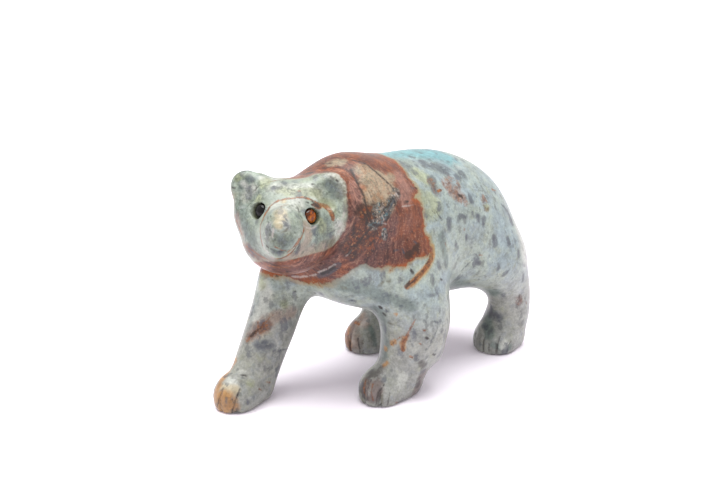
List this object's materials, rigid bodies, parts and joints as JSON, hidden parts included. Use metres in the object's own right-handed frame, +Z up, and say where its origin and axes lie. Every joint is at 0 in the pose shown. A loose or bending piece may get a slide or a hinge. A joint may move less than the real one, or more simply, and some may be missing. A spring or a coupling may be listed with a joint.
{
  "type": "stone bear carving",
  "caption": "Small walking bear carved from mottled turquoise stone, head turned to its left, with round stones set in drilled eye sockets.",
  "frame": {"origin": "middle of the carving's bounding box, on the ground under its soles", "axes": "+Z up, the bear walks along -Y, its left side is +X, its head is turned to its left"},
  "size_m": [0.0656, 0.1386, 0.093],
  "materials": {
    "turquoise_stone": "honed and lightly polished stone, pale green-grey with brown-red matrix",
    "amber_eye_stone": "polished amber orange stone",
    "dark_eye_stone": "polished near-black stone"
  },
  "bodies": {
    "root": {"bear_body": "turquoise_stone", "left_eye": "amber_eye_stone", "right_eye": "dark_eye_stone"}
  },
  "joints": []
}
